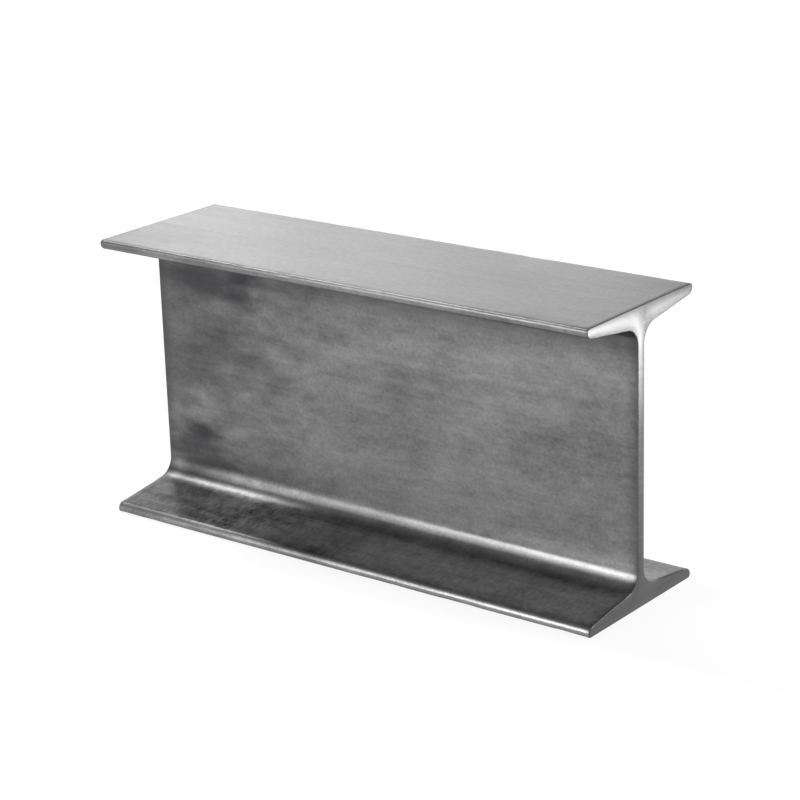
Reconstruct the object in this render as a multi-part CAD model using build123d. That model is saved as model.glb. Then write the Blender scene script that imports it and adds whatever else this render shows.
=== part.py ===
from build123d import *
from math import radians, tan
import os

# Rolled steel I-beam with tapered flanges, cut square to a short length.
# Lengths in millimetres. X runs along the beam, Y across its flanges and Z up its depth.
# The origin is on the underside, below the middle of the beam.

# Driving dimensions
length = 250.0
depth = 125.0
flange_width = 75.0
web_thickness = 4.4
flange_thickness = 6.5  # where the inner face is halfway out from the web to the toe
flange_slope = 8.0  # degrees, from each flange's flat outer face to its inner face
root_radius = 8.0  # where the web meets a flange
toe_radius = 3.0  # where an inner face ends at the toe
edge_radius = 1.4  # where an outer face ends at the toe

half_depth = depth / 2
half_width = flange_width / 2
web_face = web_thickness / 2
taper = tan(radians(flange_slope))
outstand = half_width - web_face


# Thickness of a flange at a distance out from the middle of the web
def thickness_at(reach):
    return flange_thickness + taper * (web_face + outstand / 2 - reach)


# The largest radius, up to the one asked for, whose arc starts within a given stretch of
# straight edge, at a corner that turns by a given angle
def radius_within(wanted, stretch, turn):
    return min(wanted, stretch / tan(radians(turn / 2)))


toe_height = thickness_at(half_width)
root_turn = toe_turn = 90 - flange_slope
edge_round = radius_within(edge_radius, 0.35 * toe_height, 90)
toe_round = radius_within(toe_radius, 0.95 * toe_height - edge_round, toe_turn)
root_round = radius_within(root_radius, 0.45 * outstand, root_turn)

# The corners of one quarter of the section, above the middle and to one side of the web,
# from the web out to the toe and back along the top
root_corner = (web_face, half_depth - thickness_at(web_face))
toe_corner = (half_width, half_depth - toe_height)
edge_corner = (half_width, half_depth)


# The same corner in all four quarters
def in_each_quarter(corner):
    y, z = corner
    return [(side * y, level * z) for side, level in ((1, 1), (-1, 1), (-1, -1), (1, -1))]


# The four corners of a section that stand where the named quarter corner is
def corners_of(section, corner):
    places = [Vector(y, z) for y, z in in_each_quarter(corner)]
    return [v for v in section.vertices() if any((Vector(v) - place).length < 1e-6 for place in places)]


# The section: a twelve-sided outline, then its roots, toes and outer edges rounded
def make_section():
    roots, toes, edges = [in_each_quarter(c) for c in (root_corner, toe_corner, edge_corner)]
    outline = [roots[0], toes[0], edges[0], edges[1], toes[1], roots[1]]
    outline += [roots[2], toes[2], edges[2], edges[3], toes[3], roots[3]]
    section = make_face(Polyline(*outline, close=True))
    section = fillet(corners_of(section, root_corner), root_round)
    section = fillet(corners_of(section, toe_corner), toe_round)
    return fillet(corners_of(section, edge_corner), edge_round)


# The beam: the section run along X, both ways from the middle, and stood on its lower flange
def make_beam():
    beam = extrude(Plane.YZ * make_section(), length / 2, both=True)
    return Pos(0, 0, half_depth) * beam


i_beam = make_beam()
os.makedirs("parts", exist_ok=True)
export_step(i_beam, "parts/i_beam.step")
print("section area", round(i_beam.volume / length, 1), "mm2, volume", round(i_beam.volume, 1), "mm3")
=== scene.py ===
# A short length of rolled steel I-beam, standing on its bottom flange in a white studio.
from math import copysign, cos, exp, radians, sin, tan
from random import Random

import bmesh
import bpy
from mathutils import Matrix, Vector, noise


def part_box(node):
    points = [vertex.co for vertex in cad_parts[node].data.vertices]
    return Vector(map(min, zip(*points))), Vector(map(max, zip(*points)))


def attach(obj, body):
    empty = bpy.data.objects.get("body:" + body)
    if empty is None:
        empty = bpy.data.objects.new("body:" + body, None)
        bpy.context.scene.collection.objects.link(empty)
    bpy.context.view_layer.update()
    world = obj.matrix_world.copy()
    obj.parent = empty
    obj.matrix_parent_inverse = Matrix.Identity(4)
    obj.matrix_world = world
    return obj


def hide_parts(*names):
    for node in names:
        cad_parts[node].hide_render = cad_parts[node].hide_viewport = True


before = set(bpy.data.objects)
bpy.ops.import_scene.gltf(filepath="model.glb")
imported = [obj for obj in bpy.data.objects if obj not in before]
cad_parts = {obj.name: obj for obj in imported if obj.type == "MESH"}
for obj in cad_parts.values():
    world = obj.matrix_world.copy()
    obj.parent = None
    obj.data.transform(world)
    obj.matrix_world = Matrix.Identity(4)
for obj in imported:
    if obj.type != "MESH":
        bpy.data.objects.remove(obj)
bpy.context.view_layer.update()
low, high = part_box("i_beam")
middle = (low + high) / 2


# A number in a node tree: arithmetic on it adds Math nodes.
class Wire:
    def __init__(self, graph, socket):
        self.graph = graph
        self.socket = socket

    def maths(self, operation, *values):
        return self.graph.node("ShaderNodeMath", {"operation": operation}, dict(enumerate(values)))

    def __add__(self, other):
        return self.maths("ADD", self, other)

    def __radd__(self, other):
        return self.maths("ADD", other, self)

    def __sub__(self, other):
        return self.maths("SUBTRACT", self, other)

    def __rsub__(self, other):
        return self.maths("SUBTRACT", other, self)

    def __mul__(self, other):
        return self.maths("MULTIPLY", self, other)

    def __rmul__(self, other):
        return self.maths("MULTIPLY", other, self)

    def __abs__(self):
        return self.maths("ABSOLUTE", self)


# The nodes of one material or world, each added by the same method.
class Graph:
    def __init__(self, owner):
        owner.use_nodes = True
        self.tree = owner.node_tree
        self.tree.nodes.clear()

    def node(self, kind, settings=None, values=None, output=0):
        made = self.tree.nodes.new(kind)
        for name, setting in (settings or {}).items():
            setattr(made, name, setting)
        for name, value in (values or {}).items():
            if isinstance(value, Wire):
                self.tree.links.new(value.socket, made.inputs[name])
            else:
                made.inputs[name].default_value = value
        return Wire(self, made.outputs[output]) if len(made.outputs) else None

    def vectorMaths(self, operation, *values, output="Vector"):
        return self.node("ShaderNodeVectorMath", {"operation": operation}, dict(enumerate(values)), output)

    # a value that goes smoothly from 0 to 1 between two limits
    def fade(self, value, start, end):
        limits = {"Value": value, "From Min": start, "From Max": end}
        return self.node("ShaderNodeMapRange", {"interpolation_type": "SMOOTHSTEP"}, limits)

    # noise, with its features 1/perMetre long on each axis, and its mean of a half taken off
    def grain(self, place, perMetre, detail):
        scaled = self.node("ShaderNodeMapping", values={"Vector": place, "Scale": perMetre})
        values = {"Vector": scaled, "Scale": 1, "Detail": detail}
        return self.node("ShaderNodeTexNoise", values=values) - 0.5

    def mixColours(self, share, first, second):
        colours = {0: share, 6: first, 7: second}
        return self.node("ShaderNodeMix", {"data_type": "RGBA"}, colours, output=2)


beam = {
    "web": 0.0044,
    "flange": 0.0065,  # midway between web and toe
    "slope": 8,  # degrees, the flanges' inner faces
    "rootRadius": 0.008,
    "rootSteps": 12,
    "toeRadius": 0.0028,
    "toeSteps": 8,
    "edgeRadius": 0.0014,
    "edgeSteps": 6,
    "rim": 0.0003,  # deburred edge round each sawn end
    "rimSteps": 3,
    "filed": 3,  # how many rims wide the filed upper edges of the bottom flange are
    "filedFromToe": 1.2,  # toe radii in from the toe, where the filing starts
    "filedFromMiddle": 0.0105,  # and where it ends, from the middle of the web
    "filedFadeToe": 0.004,  # how far from there it has its full width
    "filedFadeRoot": 0.006,
    "strip": 0.002,  # width of the strips on the flat faces
    "slice": 0.002,
    "sharp": 40,  # degrees, edges that turn more stay sharp
    "wave": 0.00006,  # deepest hollow left by the rolls
    "waveMean": 0.5,
    "waveNoises": [(14, 70, 0, 0.38), (90, 160, 40, 0.16)],  # per metre along and across, shift, share
    "wornFrom": 0.003,  # distance from an end where the wear has its full depth
    "nicks": 26,
    "nickRadius": (0.002, 0.005),
    "nickDepth": (0.000054, 0.00018),
    "seed": 7,
}
tags = {"round": 0, "sawn": 1, "outer": 2, "inner": 3, "web": 4, "end": 5}
nearly = 0.000001  # places closer than this count as the same
squarely = 0.999  # share of a normal along an axis from which a face lies square to it
slightly = 0.1  # share of it along the beam from which a face belongs to a sawn end
innerWidth = 0.01  # wider faces of the rounded section are the flanges' inner ones


def flangeThickness(reach):
    taper = tan(radians(beam["slope"]))
    halfway = (beam["web"] / 2 + high.y - middle.y) / 2
    return beam["flange"] + taper * (halfway - reach)


def sectionCorners():
    # one quarter, from the web out to the toe and up to the outer face, then the other three
    webFace = beam["web"] / 2
    halfWidth = high.y - middle.y
    halfDepth = high.z - middle.z
    quarter = [
        (webFace, halfDepth - flangeThickness(webFace)),
        (halfWidth, halfDepth - flangeThickness(halfWidth)),
        (halfWidth, halfDepth),
    ]
    corners = []
    for side, level in ((1, 1), (-1, 1), (-1, -1), (1, -1)):
        turned = quarter if side * level > 0 else reversed(quarter)
        corners += [(side * y, middle.z + level * z) for y, z in turned]
    return corners


def onOuterFace(point):
    return min(abs(point.z - low.z), abs(point.z - high.z)) < nearly


def isOuterCorner(point):
    return onOuterFace(point) and abs(point.y) > high.y - nearly


def isToe(point):
    return not onOuterFace(point) and abs(point.y) > high.y - nearly


def isByWeb(point):
    return abs(point.y) < beam["web"]


def isSquareTo(face, axis):
    return abs(face.normal[axis]) > squarely


def roundEdges(bm, edges, radius, turn, segments):
    offset = radius * tan(radians(turn) / 2)
    bmesh.ops.bevel(bm, geom=edges, offset=offset, offset_type="OFFSET", segments=segments, profile=0.5,
                    affect="EDGES", clamp_overlap=False, material=-1)


# the edges that run along the beam, all of them or those at a kind of corner
def longEdges(bm, isHere=None):
    found = []
    for edge in bm.edges:
        first, second = (vert.co for vert in edge.verts)
        if abs(first.x - second.x) > high.x - middle.x and (isHere is None or isHere(first)):
            found.append(edge)
    return found


def roundSection(bm):
    innerTurn = 90 - beam["slope"]
    roundEdges(bm, longEdges(bm, isByWeb), beam["rootRadius"], innerTurn, beam["rootSteps"])
    roundEdges(bm, longEdges(bm, isToe), beam["toeRadius"], innerTurn, beam["toeSteps"])
    roundEdges(bm, longEdges(bm, isOuterCorner), beam["edgeRadius"], 90, beam["edgeSteps"])


def tagFlats(bm):
    bm.normal_update()
    for face in bm.faces:
        at = face.calc_center_median()
        tag = "round"
        if isSquareTo(face, 0):
            tag = "sawn"
        elif onOuterFace(at):
            tag = "outer"
        elif isSquareTo(face, 1) and isByWeb(at):
            tag = "web"
        elif face.calc_area() > innerWidth * (high.x - low.x):
            tag = "inner"
        face.material_index = tags[tag]


# round off the sawn ends' edges, and tell those narrow faces from the ends themselves
def roundRims(bm):
    rims = [edge for face in bm.faces if isSquareTo(face, 0) for edge in face.edges]
    roundEdges(bm, rims, beam["rim"], 90, beam["rimSteps"])
    bm.normal_update()
    for face in bm.faces:
        if isSquareTo(face, 0):
            face.material_index = tags["end"]
        elif abs(face.normal.x) > slightly:
            face.material_index = tags["sawn"]


def limited(share):
    return min(1, max(0, share))


# file the upper edge of the bottom flange's ends wider, fading out at the toes and the root
def fileUpperEdges(bm):
    toeStart = high.y - beam["toeRadius"] * beam["filedFromToe"]
    reached = beam["rim"] + nearly
    for vert in bm.verts:
        reach = abs(vert.co.y)
        inwards = high.x - abs(vert.co.x)
        surface = low.z + flangeThickness(reach)
        below = surface - vert.co.z
        if inwards > reached or not -nearly <= below <= reached:
            continue
        share = limited((toeStart - reach) / beam["filedFadeToe"])
        share *= limited((reach - beam["filedFromMiddle"]) / beam["filedFadeRoot"])
        width = 1 + (beam["filed"] - 1) * share
        vert.co.x = copysign(high.x - inwards * width, vert.co.x)
        vert.co.z = surface - below * width


# slice the faces of one tag with planes square to an axis
def cutAcross(bm, tag, axis, stations):
    square = Vector((0, 0, 0))
    square[axis] = 1
    for station in stations:
        parts = set()
        for face in bm.faces:
            if face.material_index == tags[tag]:
                parts.update((face, *face.edges, *face.verts))
        bmesh.ops.bisect_plane(bm, geom=list(parts), dist=nearly, plane_co=square * station, plane_no=square)


def stationsBetween(start, end):
    count = round((end - start) / beam["strip"])
    return [start + (end - start) * step / count for step in range(1, count)]


# the stations of the strips on the outer faces, on the flanges' inner faces and on the web
def stripStations():
    halfTurn = tan(radians(90 - beam["slope"]) / 2)
    rootEnd = beam["web"] / 2 + beam["rootRadius"] * halfTurn
    toeStart = high.y - beam["toeRadius"] * halfTurn
    rootTop = low.z + flangeThickness(beam["web"] / 2) + beam["rootRadius"] * halfTurn
    outer = stationsBetween(low.y + beam["edgeRadius"], high.y - beam["edgeRadius"])
    inner = stationsBetween(rootEnd, toeStart) + stationsBetween(-toeStart, -rootEnd)
    return outer, inner, stationsBetween(rootTop, low.z + high.z - rootTop)


def cutFlats(bm):
    outer, inner, web = stripStations()
    cutAcross(bm, "outer", 1, outer)
    cutAcross(bm, "inner", 1, inner)
    cutAcross(bm, "web", 2, web)


# the ends get the strips' lines too, so that none of their faces is large or bent
def cutEnds(bm):
    outer, _, web = stripStations()
    cutAcross(bm, "end", 1, outer)
    cutAcross(bm, "end", 2, web)


def sliceAlong(bm):
    slices = round((high.x - low.x) / beam["slice"])
    bmesh.ops.subdivide_edges(bm, edges=longEdges(bm), cuts=slices - 1)


# small knocks along the toes, each a place, a radius and a depth
def placeNicks():
    random = Random(beam["seed"])
    nicks = []
    for _ in range(beam["nicks"]):
        side, level = random.choice((-1, 1)), random.choice((low.z, high.z))
        at = Vector((random.uniform(low.x, high.x), side * high.y, level))
        nicks.append((at, random.uniform(*beam["nickRadius"]), random.uniform(*beam["nickDepth"])))
    return nicks


def hollowAt(point, nicks):
    share = beam["waveMean"]
    for along, across, shift, amount in beam["waveNoises"]:
        place = Vector((point.x * along + shift, point.y * across, point.z * across))
        share += amount * noise.noise(place)
    depth = beam["wave"] * share
    for at, radius, deepest in nicks:
        depth += deepest * exp(-((point - at).length / radius) ** 2)
    return max(0, depth)


# the rolls' waves and the nicks, always inwards, none of it on the sawn ends
def wearSkin(bm):
    bm.normal_update()
    nicks = placeNicks()
    for vert in bm.verts:
        fromEnd = high.x - abs(vert.co.x)
        if fromEnd > beam["rim"] * beam["filed"] + nearly:
            vert.co -= vert.normal * hollowAt(vert.co, nicks) * min(1, fromEnd / beam["wornFrom"])


def makeBeam():
    bm = bmesh.new()
    start = bm.faces.new([bm.verts.new((low.x, y, z)) for y, z in sectionCorners()])
    grown = bmesh.ops.extrude_face_region(bm, geom=[start])
    moved = [part for part in grown["geom"] if isinstance(part, bmesh.types.BMVert)]
    bmesh.ops.translate(bm, verts=moved, vec=(high.x - low.x, 0, 0))
    bmesh.ops.recalc_face_normals(bm, faces=bm.faces)
    roundSection(bm)
    tagFlats(bm)
    cutFlats(bm)
    print("section rounded and its flats in strips,", len(bm.faces), "faces")
    roundRims(bm)
    fileUpperEdges(bm)
    cutEnds(bm)
    sliceAlong(bm)
    print("ends sawn and beam sliced,", len(bm.faces), "faces")
    wearSkin(bm)
    for face in bm.faces:
        face.material_index = int(face.material_index in (tags["sawn"], tags["end"]))  # 0 rolled, 1 sawn
    mesh = bpy.data.meshes.new("i_beam_skin")
    bm.to_mesh(mesh)
    bm.free()
    mesh.set_sharp_from_angle(angle=radians(beam["sharp"]))
    piece = bpy.data.objects.new("i_beam_skin", mesh)
    bpy.context.scene.collection.objects.link(piece)
    mesh.calc_loop_triangles()
    print("beam worn,", len(mesh.loop_triangles), "triangles")
    return piece


# the noise of each layer, and what the layers add to the tone, the roughness and the relief
def makeLayers(graph, place, layers):
    noises = {}
    sums = [0, 0, 0]
    for name, (perMetre, detail, *amounts) in layers.items():
        noises[name] = graph.grain(place, perMetre, detail)
        for index, amount in enumerate(amounts):
            if amount:
                sums[index] += noises[name] * amount
    return noises, *sums


rolled = {
    "dark": (0.030, 0.030, 0.033, 1),
    "pale": (0.360, 0.360, 0.358, 1),
    "tone": 0.43,  # share of the pale colour
    "metallic": 0.85,
    "roughness": 0.32,
    "coat": 0.2,
    "coatRoughness": 0.3,
    "bump": 0.35,
    "bumpDepth": 0.00004,
    # features per metre along x, y and z, detail, and shares in the tone, the roughness and the relief
    "layers": {
        "clouds": ((13, 24, 28), 3, 0.55, 0.08, 0),
        "blotches": ((42, 50, 95), 4, 0.40, 0.12, 1.2),
        "rollStreaks": ((9, 250, 430), 3, 0.20, 0.10, 0.6),
        "mottling": ((150, 120, 300), 3, 0.26, 0.10, 0),
        "hairlines": ((60, 450, 1100), 2, 0.14, 0, 0.5),
        "grain": ((650, 330, 800), 2, 0.34, 0, 0.7),
    },
    "flangeGrain": 1.1,  # how much stronger the pattern gets on the inner faces of the flanges
    # from where a zone is measured, and how far from there it starts and is full
    "zones": {
        "front": ("across", 0.001, -0.001),
        "nearWeb": ("web", 0.010, 0.006),
        "footStart": ("web", 0.0040, 0.0052),
        "footEnd": ("web", 0.0125, 0.0095),
        "inside": ("outerFace", 0, 0.002),
        "nearToe": ("toe", 0.0024, 0.0016),
        "onToe": ("toe", 0.0010, 0.0005),
        "atCorner": ("toe", 0.0009, 0.0003),
        "atEdge": ("toe", 0.0016, 0.0008),
        "nearEnd": ("end", 0.0065, 0),
        "nearTop": ("top", 0.0265, 0.0165),
    },
    "fray": 0.006,  # how far the blotches push the zones at the ends and the top
    # how much darker the places are, or paler with a negative share, and how much rougher
    # the darkening under the top flange is painted shade, and so is that at the toes' outer and inner edges,
    # which dims their highlights
    "shades": {"endBand": 0.5, "shadeUnderTopFlange": 0.5, "corner": 0.35, "shoulder": 0.2, "toe": -0.3},
    "rougher": {"shoulder": 0.3, "foot": 0.15, "edge": 0.2},
    # dark patches on the front, or pale ones with a negative share: x, z, half length, half height, share
    "patches": [
        (-0.112, 0.082, 0.075, 0.055, 0.41),
        # the next two are painted shade under the top flange at the far end
        (-0.0945, 0.1045, 0.034, 0.012, 0.46),
        (-0.0605, 0.1030, 0.022, 0.008, 0.25),
        # darkens the web low at the far end; over the root it is painted shade that dims the root's
        # highlight there
        (-0.1045, 0.0220, 0.024, 0.0135, 0.64),
        (-0.0880, 0.0720, 0.024, 0.013, 0.14),
        (0.0085, 0.0690, 0.018, 0.013, 0.12),
        (0.0760, 0.0765, 0.013, 0.0075, -0.10),
        # the last two are painted light: a pool of light on the bottom flange and the foot of its root at
        # the far end
        (-0.0830, 0.0095, 0.022, 0.0055, -0.80),
        (-0.0500, 0.0085, 0.028, 0.0060, -0.65),
    ],
    "patchEdge": (1.3, 0.3),  # where a patch starts and is full, as shares of its half size
    "patchFray": 1.8,
}


# where a point of the beam lies, as a share from 0 to 1 for each place
def findPlaces(graph, place, blotches):
    x, y, z = (graph.node("ShaderNodeSeparateXYZ", values={"Vector": place}, output=axis) for axis in "XYZ")
    frayed = blotches * rolled["fray"]
    distances = {
        "across": y,
        "web": abs(y),
        "outerFace": high.z - middle.z - abs(z - middle.z),
        "toe": high.y - abs(y),
        "end": high.x - abs(x) - frayed,
        "top": high.z - z - frayed,
    }
    zone = {}
    for name, (start, empty, full) in rolled["zones"].items():
        zone[name] = graph.fade(distances[start], empty, full)
    onWeb = zone["nearWeb"] * zone["inside"]
    outside = 1 - zone["inside"]
    return {
        "front": zone["front"],
        "flange": (zone["inside"] - onWeb) * (1 - zone["nearToe"]),
        "endBand": zone["nearEnd"] * onWeb,
        # the web and root under the top flange, darkened there as painted shade
        "shadeUnderTopFlange": zone["nearTop"] * onWeb,
        "foot": zone["footStart"] * zone["footEnd"] * zone["inside"],  # of a root, where it meets the flange
        # the darkening of a toe's inner edge is painted shade, dimming a highlight there
        "shoulder": zone["nearToe"] * (1 - zone["onToe"]) * zone["inside"],  # the inner edge of a toe
        "toe": zone["onToe"],
        # the darkening at the outer edge of a toe is painted shade over its highlight
        "corner": zone["atCorner"] * outside,  # the outer edge of a toe
        "edge": zone["atEdge"] * outside,  # a wider band there
    }


# the patches added up, their edges frayed by the blotches
def makePatches(graph, place, blotches):
    patches = 0
    for x, z, halfLength, halfHeight, share in rolled["patches"]:
        offset = graph.vectorMaths("SUBTRACT", place, (x, 0, z))
        scaled = graph.vectorMaths("MULTIPLY", offset, (1 / halfLength, 0, 1 / halfHeight))
        distance = graph.vectorMaths("LENGTH", scaled, output="Value")
        patches += graph.fade(distance + blotches * rolled["patchFray"], *rolled["patchEdge"]) * share
    return patches


def makeRolledSteel():
    material = bpy.data.materials.new("rolled_steel")
    graph = Graph(material)
    place = graph.node("ShaderNodeTexCoord", output="Object")
    noises, pattern, roughness, relief = makeLayers(graph, place, rolled["layers"])
    places = findPlaces(graph, place, noises["blotches"])
    tone = pattern * (places["flange"] * rolled["flangeGrain"] + 1) + rolled["tone"]
    tone = tone * (1 - makePatches(graph, place, noises["blotches"]) * places["front"])
    for name, share in rolled["shades"].items():
        tone = tone * (1 - places[name] * share)
    for name, share in rolled["rougher"].items():
        roughness = roughness + places[name] * share
    height = {"Strength": rolled["bump"], "Distance": rolled["bumpDepth"], "Height": relief}
    shader = graph.node("ShaderNodeBsdfPrincipled", values={
        "Base Color": graph.mixColours(tone, rolled["dark"], rolled["pale"]),
        "Metallic": rolled["metallic"],
        "Roughness": roughness + rolled["roughness"],
        "Coat Weight": rolled["coat"],
        "Coat Roughness": rolled["coatRoughness"],
        "Normal": graph.node("ShaderNodeBump", values=height),
    })
    graph.node("ShaderNodeOutputMaterial", values={"Surface": shader})
    return material


sawn = {
    "dark": (0.05, 0.05, 0.05, 1),
    "pale": (0.15, 0.15, 0.15, 1),
    "tone": 0.5,
    "metallic": 0.85,
    "roughness": 0.38,
    "bump": 0.3,
    "bumpDepth": 0.00003,
    "layers": {
        "sawLines": ((300, 25, 1900), 2, 0.7, 0.10, 1),
        "clouds": ((60, 60, 60), 2, 0.5, 0.12, 0),
        "specks": ((1500, 1500, 1500), 2, 0.4, 0, 0.4),
    },
}


def makeSawnSteel():
    material = bpy.data.materials.new("sawn_steel")
    graph = Graph(material)
    place = graph.node("ShaderNodeTexCoord", output="Object")
    _, pattern, roughness, relief = makeLayers(graph, place, sawn["layers"])
    height = {"Strength": sawn["bump"], "Distance": sawn["bumpDepth"], "Height": relief}
    shader = graph.node("ShaderNodeBsdfPrincipled", values={
        "Base Color": graph.mixColours(pattern + sawn["tone"], sawn["dark"], sawn["pale"]),
        "Metallic": sawn["metallic"],
        "Roughness": roughness + sawn["roughness"],
        "Normal": graph.node("ShaderNodeBump", values=height),
    })
    graph.node("ShaderNodeOutputMaterial", values={"Surface": shader})
    return material


# azimuth 0 is in front of the beam and 90 beyond its near end
def directionTo(azimuth, elevation):
    turn, lift = radians(azimuth), radians(elevation)
    return Vector((sin(turn) * cos(lift), -cos(turn) * cos(lift), sin(lift)))


studio = {
    "floorHalfSize": 4,
    "floorGap": 0.0002,  # between the beam and the floor
    "floorColour": (0.8, 0.8, 0.8, 1),
    "seenColour": (0.15, 0.15, 0.15, 1),  # for the share of the real shading that the camera sees
    "white": (1, 1, 1, 1),
    "glow": 0.88,  # of the floor round the beam, 1 farther out
    "glowFrom": 0.4,
    "glowTo": 1.6,
    "fill": 0.2,  # the world's plain light on the beam and the floor
    "ceiling": 0.08,  # the metal's reflections darken from the horizon up to this
    "horizon": 12,  # degrees, where that starts
    "overhead": 38,  # and where it ends
}


# 1 for what the camera sees straight or through glass, 1 for what the metal shows, else 0
def seenDirectly(graph):
    camera, glossy, through = (
        graph.node("ShaderNodeLightPath", output=name)
        for name in ("Is Camera Ray", "Is Glossy Ray", "Is Transmission Ray")
    )
    return camera + through, glossy


def makeFloorPaint():
    material = bpy.data.materials.new("floor")
    graph = Graph(material)
    place = graph.node("ShaderNodeTexCoord", output="Object")
    distance = graph.vectorMaths("LENGTH", place, output="Value")
    glow = graph.fade(distance, studio["glowFrom"], studio["glowTo"]) * (1 - studio["glow"]) + studio["glow"]
    lit = graph.node("ShaderNodeBsdfDiffuse", values={"Color": studio["floorColour"]})
    faint = graph.node("ShaderNodeBsdfDiffuse", values={"Color": studio["seenColour"]})
    glowing = graph.node("ShaderNodeEmission", values={"Color": studio["white"], "Strength": glow})
    seen = graph.node("ShaderNodeAddShader", values={0: faint, 1: glowing})
    straight, shown = seenDirectly(graph)
    shader = graph.node("ShaderNodeMixShader", values={0: straight + shown, 1: lit, 2: seen})
    graph.node("ShaderNodeOutputMaterial", values={"Surface": shader})
    return material


def makeFloor():
    bm = bmesh.new()
    bmesh.ops.create_grid(bm, x_segments=1, y_segments=1, size=studio["floorHalfSize"])
    bmesh.ops.translate(bm, verts=bm.verts, vec=(0, 0, low.z - studio["floorGap"]))
    mesh = bpy.data.meshes.new("floor")
    bm.to_mesh(mesh)
    bm.free()
    mesh.materials.append(makeFloorPaint())
    floor = bpy.data.objects.new("floor", mesh)
    bpy.context.scene.collection.objects.link(floor)


def makeWorld():
    world = bpy.data.worlds.new("studio")
    graph = Graph(world)
    straight, shown = seenDirectly(graph)
    upwards = graph.node("ShaderNodeTexCoord", output="Generated")
    height = graph.node("ShaderNodeSeparateXYZ", values={"Vector": upwards}, output="Z")
    dim = graph.fade(height, sin(radians(studio["horizon"])), sin(radians(studio["overhead"])))
    reflected = 1 - dim * (1 - studio["ceiling"])
    strength = straight + shown * reflected + (1 - straight - shown) * studio["fill"]
    light = graph.node("ShaderNodeBackground", values={"Color": studio["white"], "Strength": strength})
    graph.node("ShaderNodeOutputWorld", values={"Surface": light})
    bpy.context.scene.world = world


targets = {
    "beam": middle,
    "nearEnd": Vector((high.x, -0.02, 0.127)),
    "farRoot": Vector((-0.08, -0.01, 0.02)),
}
# target, direction from there as azimuth and elevation, distance, width, height, watts
lamps = {
    "overhead": ("beam", 0, 90, 1.2, 0.7, 0.7, 1),
    "leftHigh": ("farRoot", -93.5, 58, 1.4, 0.16, 0.3, 12),
    "frontLeftTall": ("beam", -25.5, 15, 1.2, 0.2, 0.6, 4.0),
    "frontLeftStrip": ("beam", -23, 9, 1.2, 0.2, 0.25, 1.5),
    "leftSoft": ("beam", -38, 33, 1.2, 0.3, 0.35, 0.8),
    "backSoft": ("beam", -142, 20, 1.2, 0.5, 0.35, 0.44),
    "farLeft": ("beam", -128, 16, 1.6, 0.5, 0.3, 0.42),
    "backHigh": ("farRoot", -139, 31, 1.2, 0.3, 0.3, 0.22),
    "endSoft": ("nearEnd", 134, -17.5, 0.225, 0.14, 0.035, 0.385),
    "rimSoft": ("nearEnd", 144, 43, 1.2, 0.35, 0.35, 2.5),
}


def makeLamps():
    for name, (target, azimuth, elevation, distance, width, height, watts) in lamps.items():
        lamp = bpy.data.objects.new(name, bpy.data.lights.new(name, "AREA"))
        lamp.data.shape = "RECTANGLE"
        lamp.data.size = width
        lamp.data.size_y = height
        lamp.data.energy = watts
        towards = directionTo(azimuth, elevation)
        lamp.location = targets[target] + distance * towards
        lamp.rotation_euler = towards.to_track_quat("Z", "Y").to_euler()
        lamp.visible_camera = False
        bpy.context.scene.collection.objects.link(lamp)


viewpoint = {
    "azimuth": 38.05,
    "elevation": 18.47,
    "roll": -1.78,
    "distance": 1.0363,
    "lens": 111.2,
    "sensor": 36,
    "nearest": 0.05,
    "farthest": 50,
    "across": -0.0051,  # how far right of the picture's middle the beam's middle stands
    "up": -0.0018,  # and how far above it
}


def makeCamera():
    back = directionTo(viewpoint["azimuth"], viewpoint["elevation"])
    turn, roll = radians(viewpoint["azimuth"]), radians(viewpoint["roll"])
    level = Vector((cos(turn), sin(turn), 0))
    upright = back.cross(level)
    right = cos(roll) * level + sin(roll) * upright
    up = cos(roll) * upright - sin(roll) * level
    place = middle + viewpoint["distance"] * back - viewpoint["across"] * right - viewpoint["up"] * up
    camera = bpy.data.objects.new("camera", bpy.data.cameras.new("camera"))
    camera.data.sensor_fit = "HORIZONTAL"
    camera.data.sensor_width = viewpoint["sensor"]
    camera.data.lens = viewpoint["lens"]
    camera.data.clip_start = viewpoint["nearest"]
    camera.data.clip_end = viewpoint["farthest"]
    camera.matrix_world = Matrix.Translation(place) @ Matrix((right, up, back)).transposed().to_4x4()
    bpy.context.scene.collection.objects.link(camera)
    bpy.context.scene.camera = camera


piece = makeBeam()
piece.data.materials.append(makeRolledSteel())
piece.data.materials.append(makeSawnSteel())
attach(piece, "root")
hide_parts("i_beam")
print("finishes made")

makeFloor()
makeWorld()
makeLamps()
makeCamera()
bpy.context.scene.view_settings.view_transform = "Standard"
print("studio and camera made")
